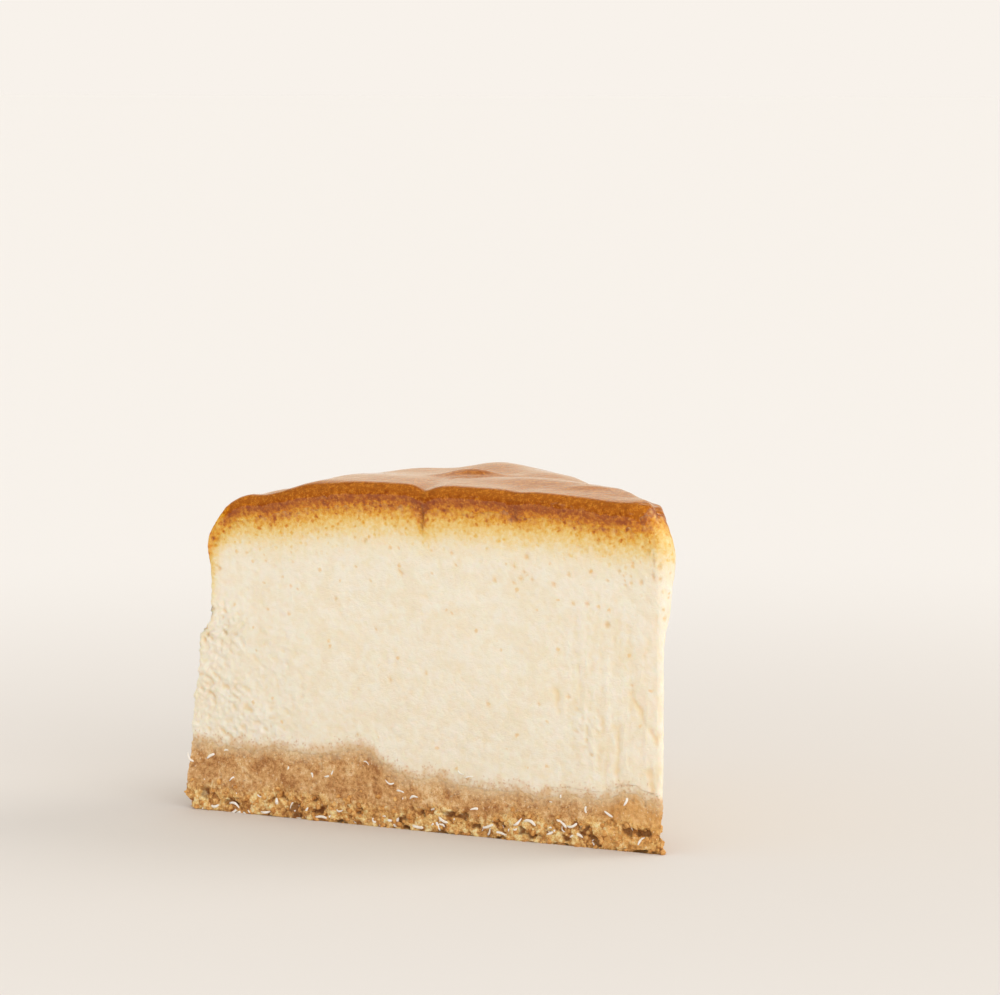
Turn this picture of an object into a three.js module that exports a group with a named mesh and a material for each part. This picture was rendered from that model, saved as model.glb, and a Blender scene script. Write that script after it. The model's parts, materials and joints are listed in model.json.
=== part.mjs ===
// One slice of a tall baked cheesecake: an eighth of a cake from a 230 mm springform tin.
//
// Millimetres, +Z up. The point of the slice is towards +X and the baked outer wall towards -X.
// The front cut face is the plane facing -Y, and the second cut runs back from the point at
// SLICE_ANGLE to it. Lengths below are worked out in the cake's own frame, which has the middle
// of the cake (the point of the slice) at x = y = 0, and the last lines move the slice so that
// the origin is under the middle of its box.
//
// Two layers show at every cut and run right through the slice: a pressed crumb base, and a
// cream cheese filling whose domed, rippled top is baked brown.

import * as THREE from 'three';

// ---- Driving dimensions ------------------------------------------------------------------

const SLICE_ANGLE = THREE.MathUtils.degToRad(45);
const LAYER_GAP = 0.3; // clearance between the crumb base and the filling

// The outer wall: [height, radius] up the side of the cake, bulging at the crumb base, stepped
// in where the filling shrank from the tin, and bulging a little again under the shoulder.
const WALL = [
  [0, 115.1],
  [3.9, 116.6],
  [14.7, 114.9],
  [37.4, 112.4],
  [42.5, 109.5],
  [50, 109.6],
  [57.2, 110.4],
];

// The blunt point: [height, overhang, rounding]. Overhang is how far the corner of the two
// cuts lies past the middle of the cake, and rounding is the radius that blunts it.
const POINT = [
  [0, 0.7, 0.8],
  [42, 0.8, 1.0],
  [52, 3.3, 2.1],
  [61, 5.1, 3.0],
  [70, 3.6, 3.0],
];
const OVERHANG_REACH = 45; // the second cut is straight again this far from the point

// The baked top: a low dome, highest part-way out, that sinks towards the second cut.
const CROWN_HEIGHT = 74.2;
const CROWN_RADIUS = 58;
const CROWN_FALL = 2.0;
const FAR_SIDE_FALL = { drop: 2.0, from: 5, to: 42 }; // between these distances from the middle

// Rounded-off edges of the top: how far in from the edge each starts, how far it drops, and
// how square its corner is (2 is a quarter of an ellipse).
const RIM_SLOPE = { drop: 3, from: 28, to: 13 }; // between these distances from the wall
const RIM_SHOULDER = { reach: 11, drop: 8.5, square: 1.7 };
const POINT_SHOULDER = { reach: 5, drop: 7.5, square: 1.8 };
const CUT_LIP = { reach: 1.7, drop: 1.3, square: 2 };

// Behind its lip, the top sinks gently towards each cut, less so near the point. The rim
// sinks by this much more where it meets a cut.
const CUT_SLOPE = { reach: 16, drop: 0.25, from: 5, to: 50 };
const RIM_AT_CUT = { reach: 7, extra: 1 };

// Ripples of the skin: along is the distance from the point measured along the front cut,
// behind is the distance behind the front cut, long and wide are half sizes, turn is the
// direction of the long side in degrees, and lift is the height at the middle.
const RIPPLES = [
  { along: 34, behind: 18, long: 21, wide: 8, turn: 5, lift: 1.8 },
  { along: 74, behind: 13, long: 14, wide: 7, turn: 20, lift: 0.5 },
  { along: 59.5, behind: 27, long: 6.5, wide: 3, turn: -28, lift: 1.8 },
  { along: 65, behind: 50, long: 14, wide: 9, turn: 40, lift: 2.2 },
  { along: 84, behind: 40, long: 15, wide: 10, turn: 40, lift: 1.6 },
  { along: 46, behind: 37, long: 12, wide: 7, turn: 40, lift: 1.5 },
  { along: 24, behind: 13, long: 5, wide: 2.2, turn: -30, lift: 0.3 },
  { along: 59, behind: 8, long: 12, wide: 3, turn: 68, lift: -1.0 },
  { along: 57, behind: 0, long: 6, wide: 1.8, turn: 80, lift: -0.6 },
  { along: 34.5, behind: 0, long: 9, wide: 2.6, turn: 80, lift: -0.3 },
  { along: 12, behind: 8, long: 6, wide: 4, turn: -30, lift: -0.3 },
  { along: 95, behind: 7, long: 9, wide: 4.5, turn: 0, lift: -1.0 },
  { along: 84, behind: -1, long: 7, wide: 3, turn: 0, lift: -1.1 },
  { along: 13, behind: -1, long: 9, wide: 4, turn: 0, lift: -0.6 },
];

// The line between crumb base and filling: thicker under the outer half, with a few humps.
const BASE_INNER = 10.2;
const BASE_OUTER = 14.6;
const BASE_STEP = [56, 74]; // distances from the middle between which it thickens
const BASE_HUMPS = [
  { along: 72, behind: 0, long: 6, wide: 9, turn: 0, lift: 2.0 },
  { along: 53, behind: 0, long: 5, wide: 8, turn: 0, lift: 1.4 },
  { along: 8, behind: 0, long: 4, wide: 5, turn: 0, lift: 1.8 },
  { along: 40, behind: 40, long: 12, wide: 8, turn: 45, lift: 2.2 },
  { along: 70, behind: 68, long: 9, wide: 12, turn: 45, lift: 1.6 },
  { along: 104, behind: 34, long: 8, wide: 10, turn: 0, lift: 1.4 },
];
const BASE_WAVE = { length: 27, lift: 0.5 };

// Mesh fineness: cells from the point to the wall, from cut to cut, and up each layer.
const CELLS_OUT = 30;
const CELLS_ACROSS = 18;
const CELLS_UP_FILLING = 17;
const CELLS_UP_BASE = 4;
const END_CROWDING = 0.5; // 0 for even cells, 1 for cells that shrink to nothing at the ends

// ---- Curves and bumps --------------------------------------------------------------------

const smooth = (from, to, value) => THREE.MathUtils.smoothstep(value, from, to);

// Eases from row to row of a table whose first column is the height.
function atHeight(table, height, column) {
  if (height <= table[0][0]) return table[0][column];
  for (let i = 1; i < table.length; i += 1) {
    const [low, high] = [table[i - 1], table[i]];
    if (height < high[0]) {
      const share = smooth(low[0], high[0], height);
      return THREE.MathUtils.lerp(low[column], high[column], share);
    }
  }
  return table[table.length - 1][column];
}

// A soft oval hump, or a hollow if its lift is negative.
function hump(x, y, { along, behind, long, wide, turn, lift }) {
  const angle = THREE.MathUtils.degToRad(turn);
  const dx = -x - along;
  const dy = y - behind;
  const lengthways = (dx * Math.cos(angle) + dy * Math.sin(angle)) / long;
  const sideways = (dy * Math.cos(angle) - dx * Math.sin(angle)) / wide;
  return lift * Math.exp(-(lengthways ** 2) - sideways ** 2);
}

const humps = (x, y, list) => list.reduce((sum, item) => sum + hump(x, y, item), 0);

// How far a rounded-off edge has dropped at this distance in from the edge.
function roundOff(distance, { reach, drop, square }) {
  const share = THREE.MathUtils.clamp(1 - distance / reach, 0, 1);
  return drop * (1 - (1 - share ** square) ** (1 / square));
}

// ---- The slice's own surfaces ------------------------------------------------------------

// A plan point: out is 0 at the blunt point and 1 at the wall, across is 0 at the front cut
// and 1 at the second cut.
function planPoint(out, across, height) {
  const overhang = atHeight(POINT, height, 1);
  const rounding = atHeight(POINT, height, 2);
  const centre = overhang - rounding / Math.tan(SLICE_ANGLE / 2);
  const facing = THREE.MathUtils.lerp(-Math.PI / 2, Math.PI / 2 - SLICE_ANGLE, across);
  const inner = [centre + rounding * Math.cos(facing), rounding * (1 + Math.sin(facing))];

  const radius = atHeight(WALL, height, 1);
  const angle = across * SLICE_ANGLE;
  const outer = [-radius * Math.cos(angle), radius * Math.sin(angle)];

  const x = THREE.MathUtils.lerp(inner[0], outer[0], out);
  const y = THREE.MathUtils.lerp(inner[1], outer[1], out);
  const straight = smooth(0, OVERHANG_REACH, Math.hypot(x, y)) * overhang * across * (1 - out);
  return [x - straight, y];
}

// How far the top has sunk, at this radius, because a cut is this far away.
function sunkAtCut(fromCut, radius) {
  const share = THREE.MathUtils.clamp(1 - fromCut / CUT_SLOPE.reach, 0, 1);
  const slope = CUT_SLOPE.drop * share ** 2 * smooth(CUT_SLOPE.from, CUT_SLOPE.to, radius);
  return slope + roundOff(fromCut, CUT_LIP);
}

function topHeight(out, across) {
  const [x, y] = planPoint(out, across, CROWN_HEIGHT);
  const radius = Math.hypot(x, y);
  const wall = atHeight(WALL, CROWN_HEIGHT, 1);
  const dome = CROWN_HEIGHT - CROWN_FALL * ((radius - CROWN_RADIUS) / CROWN_RADIUS) ** 2;
  const { drop, from, to } = FAR_SIDE_FALL;
  const farSide = drop * smooth(0, 1, across) * smooth(from, to, radius);
  const rippled = humps(x, y, RIPPLES) * smooth(0, RIM_SLOPE.from / 2, wall - radius);

  const fromFrontCut = Math.max(y, 0);
  const fromSecondCut = Math.max(-x * Math.sin(SLICE_ANGLE) - y * Math.cos(SLICE_ANGLE), 0);
  const fromNearCut = Math.min(fromFrontCut, fromSecondCut);
  const extra = RIM_AT_CUT.extra * (1 - smooth(0, RIM_AT_CUT.reach, fromNearCut));
  const rim = { ...RIM_SHOULDER, drop: RIM_SHOULDER.drop + extra };
  const fromWall = wall * (1 - out);
  const rimSlope = RIM_SLOPE.drop * (1 - smooth(RIM_SLOPE.to, RIM_SLOPE.from, fromWall));
  return (
    dome -
    farSide +
    rippled -
    rimSlope -
    roundOff(fromWall, rim) -
    roundOff(wall * out, POINT_SHOULDER) -
    sunkAtCut(fromFrontCut, radius) -
    sunkAtCut(fromSecondCut, radius)
  );
}

// The middle of the gap between the two layers.
function layerHeight(out, across) {
  const [x, y] = planPoint(out, across, BASE_INNER);
  const radius = Math.hypot(x, y);
  const step = smooth(BASE_STEP[0], BASE_STEP[1], radius);
  const thickness = THREE.MathUtils.lerp(BASE_INNER, BASE_OUTER, step);
  const wave = Math.sin((2 * Math.PI * x) / BASE_WAVE.length);
  const sway = Math.sin((2 * Math.PI * y) / BASE_WAVE.length);
  return thickness + humps(x, y, BASE_HUMPS) + BASE_WAVE.lift * wave * sway;
}

// ---- Closed blocks -----------------------------------------------------------------------

// A closed mesh over the six faces of a cells[0] x cells[1] x cells[2] block, whose corners
// are put in place by place(i, j, k) with each of i, j and k from 0 to 1.
function blockGeometry(cells, place) {
  const positions = [];
  const faces = [];
  const numbers = new Map();

  const corner = (steps) => {
    const key = steps.join();
    if (!numbers.has(key)) {
      numbers.set(key, positions.length / 3);
      positions.push(...place(...steps.map((step, axis) => step / cells[axis])));
    }
    return numbers.get(key);
  };

  // The face across one axis, at its low or its high end, wound to point out of the block.
  const addFace = (axis, high) => {
    const [first, second] = [(axis + 1) % 3, (axis + 2) % 3];
    const at = (i, j) => {
      const steps = [0, 0, 0];
      steps[axis] = high ? cells[axis] : 0;
      steps[first] = i;
      steps[second] = j;
      return corner(steps);
    };
    for (let i = 0; i < cells[first]; i += 1) {
      for (let j = 0; j < cells[second]; j += 1) {
        const ring = [at(i, j), at(i + 1, j), at(i + 1, j + 1), at(i, j + 1)];
        if (high) ring.reverse();
        faces.push(ring[0], ring[1], ring[2], ring[0], ring[2], ring[3]);
      }
    }
  };

  for (const axis of [0, 1, 2]) {
    addFace(axis, false);
    addFace(axis, true);
  }
  const geometry = new THREE.BufferGeometry();
  geometry.setAttribute('position', new THREE.Float32BufferAttribute(positions, 3));
  geometry.setIndex(faces);
  geometry.computeVertexNormals();
  return geometry;
}

// Cells are shorter near the point and the wall, and shorter still near both cuts, because the
// edges are rounded there.
const spacedAcross = (share) => (1 - Math.cos(Math.PI * share)) / 2;
const spacedOut = (share) => THREE.MathUtils.lerp(share, spacedAcross(share), END_CROWDING);

// A layer of the slice between two surfaces, each a function of out and across.
function layerGeometry(cellsUp, lower, upper) {
  return blockGeometry([CELLS_OUT, CELLS_ACROSS, cellsUp], (i, j, up) => {
    const out = spacedOut(i);
    const across = spacedAcross(j);
    const height = THREE.MathUtils.lerp(lower(out, across), upper(out, across), up);
    return [...planPoint(out, across, height), height];
  });
}

// ---- The two layers ----------------------------------------------------------------------

function crumbBase() {
  const material = new THREE.MeshStandardMaterial({
    color: '#c8975c',
    roughness: 0.9,
    metalness: 0,
  });
  const top = (out, across) => layerHeight(out, across) - LAYER_GAP / 2;
  const mesh = new THREE.Mesh(layerGeometry(CELLS_UP_BASE, () => 0, top), material);
  mesh.name = 'crumb_base';
  return mesh;
}

function cheeseFilling() {
  const material = new THREE.MeshStandardMaterial({
    color: '#f1e2c5',
    roughness: 0.55,
    metalness: 0,
  });
  const bottom = (out, across) => layerHeight(out, across) + LAYER_GAP / 2;
  const mesh = new THREE.Mesh(layerGeometry(CELLS_UP_FILLING, bottom, topHeight), material);
  mesh.name = 'cheese_filling';
  return mesh;
}

const slice = new THREE.Group();
slice.add(crumbBase(), cheeseFilling());

const middle = new THREE.Box3().setFromObject(slice).getCenter(new THREE.Vector3());
slice.position.set(-middle.x, -middle.y, 0);
slice.updateMatrixWorld(true);

export default slice;
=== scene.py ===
"""One slice of a tall baked cheesecake: cream filling, crumb base, caramel glaze and coconut.

Lengths named here are millimetres in the cake's own frame: the middle of the cake, where the
point of the slice is, lies at x = y = 0, the front cut runs from it towards -X and faces -Y,
and the second cut runs back from it at SLICE_ANGLE. place_in_frame() turns them into metres in
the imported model's frame.
"""

import json
import math

import bmesh
import bpy
import numpy as np
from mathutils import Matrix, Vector, noise

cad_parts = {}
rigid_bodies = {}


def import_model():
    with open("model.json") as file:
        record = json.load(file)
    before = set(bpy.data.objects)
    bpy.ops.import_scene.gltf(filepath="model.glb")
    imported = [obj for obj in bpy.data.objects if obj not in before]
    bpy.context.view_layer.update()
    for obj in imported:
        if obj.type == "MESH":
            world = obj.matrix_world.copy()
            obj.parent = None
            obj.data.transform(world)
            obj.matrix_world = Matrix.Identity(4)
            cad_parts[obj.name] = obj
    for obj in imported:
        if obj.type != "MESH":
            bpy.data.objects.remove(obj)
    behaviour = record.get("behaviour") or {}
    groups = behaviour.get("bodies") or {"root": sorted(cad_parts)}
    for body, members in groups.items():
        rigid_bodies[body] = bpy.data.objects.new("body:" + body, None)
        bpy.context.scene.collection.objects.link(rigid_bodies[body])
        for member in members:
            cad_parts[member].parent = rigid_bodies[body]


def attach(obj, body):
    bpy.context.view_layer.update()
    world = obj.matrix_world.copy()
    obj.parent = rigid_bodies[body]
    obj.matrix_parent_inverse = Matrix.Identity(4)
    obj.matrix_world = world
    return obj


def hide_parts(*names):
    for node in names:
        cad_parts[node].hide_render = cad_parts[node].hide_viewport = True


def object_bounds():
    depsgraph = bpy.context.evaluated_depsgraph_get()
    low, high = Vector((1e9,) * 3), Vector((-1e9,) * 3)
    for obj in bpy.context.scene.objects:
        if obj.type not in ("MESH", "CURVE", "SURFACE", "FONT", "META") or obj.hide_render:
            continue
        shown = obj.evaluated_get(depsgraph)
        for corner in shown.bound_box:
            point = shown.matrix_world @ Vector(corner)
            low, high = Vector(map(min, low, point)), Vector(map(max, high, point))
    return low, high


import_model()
CAD_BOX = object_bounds()

# ---- Sizes of the slice, in millimetres ----

MM = 0.001  # metres
SLICE_ANGLE = math.radians(45)

# The outer wall: height, radius.
WALL = np.array(
    [(0, 115.1), (3.9, 116.6), (14.7, 114.9), (37.4, 112.4), (42.5, 109.5), (50, 109.6), (57.2, 110.4)]
)
WIDEST = WALL[:, 1].max()

# The blunt point: height, how far the cuts' corner overhangs the middle, rounding radius.
POINT = np.array([(0, 0.7, 0.8), (42, 0.8, 1.0), (52, 3.3, 2.1), (61, 5.1, 3.0), (70, 3.6, 3.0)])
OVERHANG_REACH = 45

CROWN_HEIGHT = 74.2
CROWN_RADIUS = 58
CROWN_FALL = 2.0
FAR_SIDE_FALL = 2.0
FAR_SIDE_BETWEEN = (5, 42)  # distances from the middle over which the fall sets in

RIM_SLOPE = (3.0, 28, 13)  # drop, and the distances from the wall between which it sets in
# Rounded edges of the top: reach in from the edge, drop at the edge, squareness (2 is a
# quarter of an ellipse).
RIM_SHOULDER = (11, 8.5, 1.7)
POINT_SHOULDER = (5, 7.5, 1.8)
CUT_LIP = (1.7, 1.3, 2)
# Behind its lip the top sinks gently towards each cut, less so near the point.
CUT_SLOPE_REACH = 16
CUT_SLOPE_DROP = 0.25
CUT_SLOPE_BETWEEN = (5, 50)
# The rim sinks by this much more where it meets a cut.
RIM_AT_CUT_REACH = 7
RIM_AT_CUT_DROP = 1

# Soft humps and hollows: along the front cut from the point, behind the front cut, half
# length, half width, direction of the length in degrees, lift at the middle.
RIPPLES = (
    (34, 18, 21, 8, 5, 1.8),
    (74, 13, 14, 7, 20, 0.5),
    (59.5, 27, 6.5, 3, -28, 1.8),
    (65, 50, 14, 9, 40, 2.2),
    (84, 40, 15, 10, 40, 1.6),
    (46, 37, 12, 7, 40, 1.5),
    (24, 13, 5, 2.2, -30, 0.3),
    (59, 8, 12, 3, 68, -1.0),
    (57, 0, 6, 1.8, 80, -0.6),
    (34.5, 0, 9, 2.6, 80, -0.3),
    (12, 8, 6, 4, -30, -0.3),
    (95, 7, 9, 4.5, 0, -1.0),
    (84, -1, 7, 3, 0, -1.1),
    (13, -1, 9, 4, 0, -0.6),
)

# The line between base and filling.
BASE_INNER = 10.2
BASE_OUTER = 14.6
BASE_STEP = (56, 74)
BASE_HUMPS = (
    (72, 0, 6, 9, 0, 2.0),
    (53, 0, 5, 8, 0, 1.4),
    (8, 0, 4, 5, 0, 1.8),
    (40, 40, 12, 8, 45, 2.2),
    (70, 68, 9, 12, 45, 1.6),
    (104, 34, 8, 10, 0, 1.4),
)
BASE_WAVE = (27, 0.5)  # length, lift
CRUMBLED_LINE = ((0.55, 6.0), (0.4, 1.7))  # lift and size of the line's finer unevenness

# Cells from the point to the wall, from cut to cut, and up the layer.
FILLING_CELLS = (280, 48, 128)
CRUST_CELLS = (440, 240, 52)
UNDERSIDE_CELL = 8  # the hidden underside and the top of the base have cells this much larger
END_CROWDING = 0.5
# Base and filling are pressed into each other by this much to either side of their line, and
# each sinks by EDGE_TUCK behind the other there, so that crumbs stick out of the cream.
INTERLOCK = 1.8
EDGE_TUCK = 0.9

# The glaze: thickness on top and on a cut, how far it hangs below the crown on a cut, and
# where it stops short of the wall.
GLAZE_THICKNESS = 0.45
GLAZE_HANG = 4.6
GLAZE_RADIUS = 108.5
GLAZE_END = 4  # towards the wall and the point the glaze thins out over this distance
GLAZE_THINNEST = 0.06
GLAZE_FROM_POINT = 5.2
GLAZE_TUCK = 0.12
GLAZE_SKIRT = 1.0  # the shell goes on under the cream's surface for this much past its edge
GLAZE_ON_CUT = (0.8, 2.4)  # depths below the crown between which the top turns into the cut
GLAZE_SWAYS = (0.5, 8)  # how its edge wavers, widely and finely
GLAZE_RAGGED = (0.9, 1.7)
GLAZE_THINS = (-0.2, 1.6)  # it thins out between these distances inside its lower edge
GLAZE_DIPS = (-0.5, 0.1)  # and dips under the cream's surface between these
GLAZE_CRACK_WIDER = 1.2
BEAD_SWAYS = (0.35, 5)
# Below the lip the glaze swells into a bead, which then thins away: height below the crown,
# thickness.
GLAZE_BEAD = np.array([(0.0, 0.45), (1.2, 0.42), (2.3, 0.6), (4.0, 0.2), (5.2, 0.08)])
# Cracks in the lip that the glaze runs into: along, half width, length below the lip, depth.
CRACKS = ((57, 0.26, 9.5, 0.55), (34.5, 0.22, 6.8, 0.4))
CRACK_OPENS = (2.5, 4.0)  # depths below the crown between which the cracks open
CRACK_CLOSES = 2  # and they close over the last of their length
CRACK_FRONT = 2.0  # how far back from the front cut they go
GLAZE_CRACK_HANG = 3.5  # the glaze hangs this much farther down in a crack
# The browned stain round a crack: half width, how much browner, how far back it goes.
CRACK_STAIN = (2.3, 1.7, 6)

SEED_SHIFT = Vector((17.3, 41.9, 5.7))  # moves every noise pattern to its own place
FULL_TURN = 6.283

# ---- Colours, as display values from 0 to 255 ----

CREAM = (244, 235, 216)
# Browning by depth below the lip of a cut, in millimetres; the top is above it.
BROWNING = (
    (-3.0, (118, 48, 8)),
    (0.0, (148, 71, 14)),
    (1.6, (163, 85, 18)),
    (2.6, (184, 100, 18)),
    (3.4, (203, 121, 22)),
    (4.4, (219, 146, 34)),
    (5.6, (230, 173, 64)),
    (7.0, (237, 199, 116)),
    (9.0, (241, 215, 158)),
    (11.5, (243, 229, 199)),
    (15.0, CREAM),
)
BLED = 0.25  # light that bleeds through the cream makes its browning look this much deeper
LIP_DROP = 1.1  # the lip of a cut lies this far below the crown
AMBER = (208, 132, 46)
# Painted glints: golden specks standing in for sparkles of light on the glaze.
PAINTED_GLINT = (228, 152, 56)
PORE_GOLD = (234, 190, 108)
# Painted shade: the yellower cream laid into the recesses of the relief.
HOLLOW_SHADE_CREAM = (240, 216, 168)
CREAM_PATCH = (238, 219, 182)
CREAM_CURD = (250, 242, 226)
BLISTER_BROWN = (146, 66, 18)
SMEAR_BROWN = (214, 164, 96)
CRACK_BROWN = (146, 82, 24)
GLAZE_EDGE = (140, 60, 12)
CRUMB_BROWN = (196, 128, 58)
# Painted shade: the dark brown laid into the cavities between crumbs.
CRUMB_CAVITY_SHADE = (134, 78, 32)
DARK_CRUMB = (140, 84, 40)
PALE_CRUMB = (248, 230, 196)
DRAGGED_CREAM = (230, 204, 164)
PRESSED_TONES = (
    (0.0, (170, 110, 54)),
    (0.35, (206, 150, 88)),
    (0.65, (224, 174, 112)),
    (1.0, (244, 208, 158)),
)
LOOSE_TONES = (
    (0.0, (170, 108, 46)),
    (0.4, (222, 162, 86)),
    (0.75, (247, 206, 132)),
    (1.0, (254, 232, 176)),
)
STRAY_TONES = ((0.25, (160, 98, 42)), (0.5, (216, 156, 82)), (0.8, (244, 204, 134)))
POINT_GOLD = (238, 178, 96)  # the base is more golden round the point
COCONUT_WHITE = (255, 253, 249)
COCONUT_SHADE = (250, 240, 222)
BACKDROP = (248, 242, 235)
WARM_BACKDROP = (250, 233, 208)
DIM_ROOM = (70, 62, 56)
ROOM_LIGHT = (0.88, 0.875, 0.865, 1.0)
# The floor is painted darker round the slice as painted shade, and paler far off as painted light that
# meets the backdrop.
FLOOR_PAINTED_SHADE = (223, 216, 208)
FLOOR_FAR = (236, 231, 225)


def paint(colour):
    """A display colour as the linear values that shaders take."""
    shares = np.asarray(colour) / 255
    linear = np.where(shares <= 0.04045, shares / 12.92, ((shares + 0.055) / 1.055) ** 2.4)
    return (*linear.tolist(), 1.0)


# ---- Curves, humps and noise ----


def smooth(low, high, value):
    share = np.clip((value - low) / (high - low), 0, 1)
    return share * share * (3 - 2 * share)


def mix(low, high, share):
    return low * (1 - share) + high * share


def at_height(table, height, column):
    """Eases from row to row of a table whose first column is the height."""
    rows = np.clip(np.searchsorted(table[:, 0], height, side="right") - 1, 0, len(table) - 2)
    share = smooth(table[rows, 0], table[rows + 1, 0], height)
    return mix(table[rows, column], table[rows + 1, column], share)


def hump(x, y, along, behind, long, wide, turn, lift):
    angle = math.radians(turn)
    dx = -x - along
    dy = y - behind
    lengthways = (dx * math.cos(angle) + dy * math.sin(angle)) / long
    sideways = (dy * math.cos(angle) - dx * math.sin(angle)) / wide
    return lift * np.exp(-(lengthways**2) - sideways**2)


def humps(x, y, listed):
    return sum(hump(x, y, *one) for one in listed)


def round_off(distance, reach, drop, square):
    """How far a rounded-off edge has dropped at this distance in from the edge."""
    share = np.clip(1 - distance / reach, 0, 1)
    return drop * (1 - (1 - share**square) ** (1 / square))


def rough(points, size, octaves=1, stretch=(1, 1, 1)):
    """Noise from about -1 to 1 at each point, with features of about this size."""
    scaled = points / (size * np.asarray(stretch))
    if octaves == 1:
        return np.array([noise.noise(Vector(p) + SEED_SHIFT) for p in scaled])
    return np.array([noise.fractal(Vector(p) + SEED_SHIFT, 1.0, 2.0, octaves) for p in scaled])


def uneven(points, *patterns):
    """Noise patterns together, each listed as amount, size, octaves and stretch, of which the
    last two may be left out."""
    return sum(amount * rough(points, *rest) for amount, *rest in patterns)


def rise(value, amount, low, high):
    """Eases from 0 at low up to amount at high."""
    return amount * smooth(low, high, value)


def crumbs_at(points, size):
    """Distance to the nearest crumb's middle, in crumb sizes, and that crumb's own number."""
    near = np.empty(len(points))
    own = np.empty(len(points))
    for i, p in enumerate(points / size):
        distances, middles = noise.voronoi(Vector(p) + SEED_SHIFT)
        near[i] = distances[0]
        own[i] = noise.cell(middles[0] * 31.7) * 0.5 + 0.5
    return near, own


# ---- Surfaces of the slice ----


def plan_point(out, across, height):
    """out is 0 at the blunt point and 1 at the wall, across is 0 at the front cut and 1 at the
    second cut."""
    overhang = at_height(POINT, height, 1)
    rounding = at_height(POINT, height, 2)
    centre = overhang - rounding / math.tan(SLICE_ANGLE / 2)
    facing = mix(-math.pi / 2, math.pi / 2 - SLICE_ANGLE, across)
    radius = at_height(WALL, height, 1)
    angle = across * SLICE_ANGLE
    x = mix(centre + rounding * np.cos(facing), -radius * np.cos(angle), out)
    y = mix(rounding * (1 + np.sin(facing)), radius * np.sin(angle), out)
    straight = smooth(0, OVERHANG_REACH, np.hypot(x, y)) * overhang * across * (1 - out)
    return x - straight, y


def cut_distances(x, y):
    """Distances to the front cut and to the second cut."""
    second = -x * math.sin(SLICE_ANGLE) - y * math.cos(SLICE_ANGLE)
    return np.maximum(y, 0), np.maximum(second, 0)


def crown_height(out, across, point_shoulder=1):
    """The baked top before it rounds off at the cuts."""
    x, y = plan_point(out, across, np.full_like(out, CROWN_HEIGHT))
    radius = np.hypot(x, y)
    wall = WALL[-1, 1]
    dome = CROWN_HEIGHT - CROWN_FALL * ((radius - CROWN_RADIUS) / CROWN_RADIUS) ** 2
    far_side = FAR_SIDE_FALL * smooth(0, 1, across) * smooth(*FAR_SIDE_BETWEEN, radius)
    rippled = humps(x, y, RIPPLES) * smooth(0, RIM_SLOPE[1] / 2, wall - radius)
    reach, drop, square = RIM_SHOULDER
    near_cut = 1 - smooth(0, RIM_AT_CUT_REACH, np.minimum(*cut_distances(x, y)))
    slope_drop, slope_start, slope_end = RIM_SLOPE
    rim = slope_drop * (1 - smooth(slope_end, slope_start, wall * (1 - out)))
    rim = rim + round_off(wall * (1 - out), reach, drop + RIM_AT_CUT_DROP * near_cut, square)
    point = point_shoulder * round_off(wall * out, *POINT_SHOULDER)
    return dome - far_side + rippled - rim - point


def top_height(out, across):
    x, y = plan_point(out, across, np.full_like(out, CROWN_HEIGHT))
    height = crown_height(out, across)
    slope = CUT_SLOPE_DROP * smooth(*CUT_SLOPE_BETWEEN, np.hypot(x, y))
    for distance in cut_distances(x, y):
        height = height - slope * np.clip(1 - distance / CUT_SLOPE_REACH, 0, 1) ** 2
        height = height - round_off(distance, *CUT_LIP)
    return height


def layer_height(out, across):
    """The line between base and filling, with its crumbled unevenness."""
    x, y = plan_point(out, across, np.full_like(out, BASE_INNER))
    step = smooth(*BASE_STEP, np.hypot(x, y))
    wave_length, wave_lift = BASE_WAVE
    wave = np.sin(2 * math.pi * x / wave_length) * np.sin(2 * math.pi * y / wave_length)
    flat = np.stack([x, y, np.zeros_like(x)], -1)
    line = mix(BASE_INNER, BASE_OUTER, step) + humps(x, y, BASE_HUMPS)
    return line + wave_lift * wave + uneven(flat, *CRUMBLED_LINE)


# ---- Closed blocks ----


def coarse_face(number, size):
    """Faces over one side of a block, with cells of size by size steps inside and every corner
    kept along the border, so that it closes onto its finer neighbours."""
    rows, columns = number.shape[0] - 1, number.shape[1] - 1
    faces = []
    for i in range(0, rows, size):
        for j in range(0, columns, size):
            last_i, last_j = min(i + size, rows), min(j + size, columns)
            low_j = range(i, last_i, 1 if j == 0 else last_i - i)
            high_i = range(j, last_j, 1 if last_i == rows else last_j - j)
            high_j = range(last_i, i, -1 if last_j == columns else i - last_i)
            low_i = range(last_j, j, -1 if i == 0 else j - last_j)
            ring = [number[step, j] for step in low_j]
            ring += [number[last_i, step] for step in high_i]
            ring += [number[step, last_j] for step in high_j]
            ring += [number[i, step] for step in low_i]
            faces.append([int(corner) for corner in ring])
    return faces


def fine_face(number):
    corners = [number[:-1, :-1], number[1:, :-1], number[1:, 1:], number[:-1, 1:]]
    return np.stack([corner.ravel() for corner in corners], -1).tolist()


def block(cells, coarse=()):
    """The corners, as shares from 0 to 1 along each axis, and the outward faces of a closed
    block. coarse lists the (axis, high end) sides that have large cells."""
    used = np.zeros([count + 1 for count in cells], bool)
    for axis in range(3):
        ends = np.moveaxis(used, axis, 0)
        ends[[0, -1]] = True
    for axis, high in coarse:
        side = np.moveaxis(used, axis, 0)[-1 if high else 0]
        side[1:-1, 1:-1] = False
        side[::UNDERSIDE_CELL, ::UNDERSIDE_CELL] = True
    number = np.full(used.shape, -1)
    number[used] = np.arange(used.sum())
    faces = []
    for axis in range(3):
        for high in (False, True):
            side = np.moveaxis(number, axis, 0)[-1 if high else 0]
            side = side.T if axis == 1 else side
            made = coarse_face(side, UNDERSIDE_CELL) if (axis, high) in coarse else fine_face(side)
            faces += [face[::-1] for face in made] if high else made
    return np.argwhere(used) / np.array(cells), faces


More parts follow.
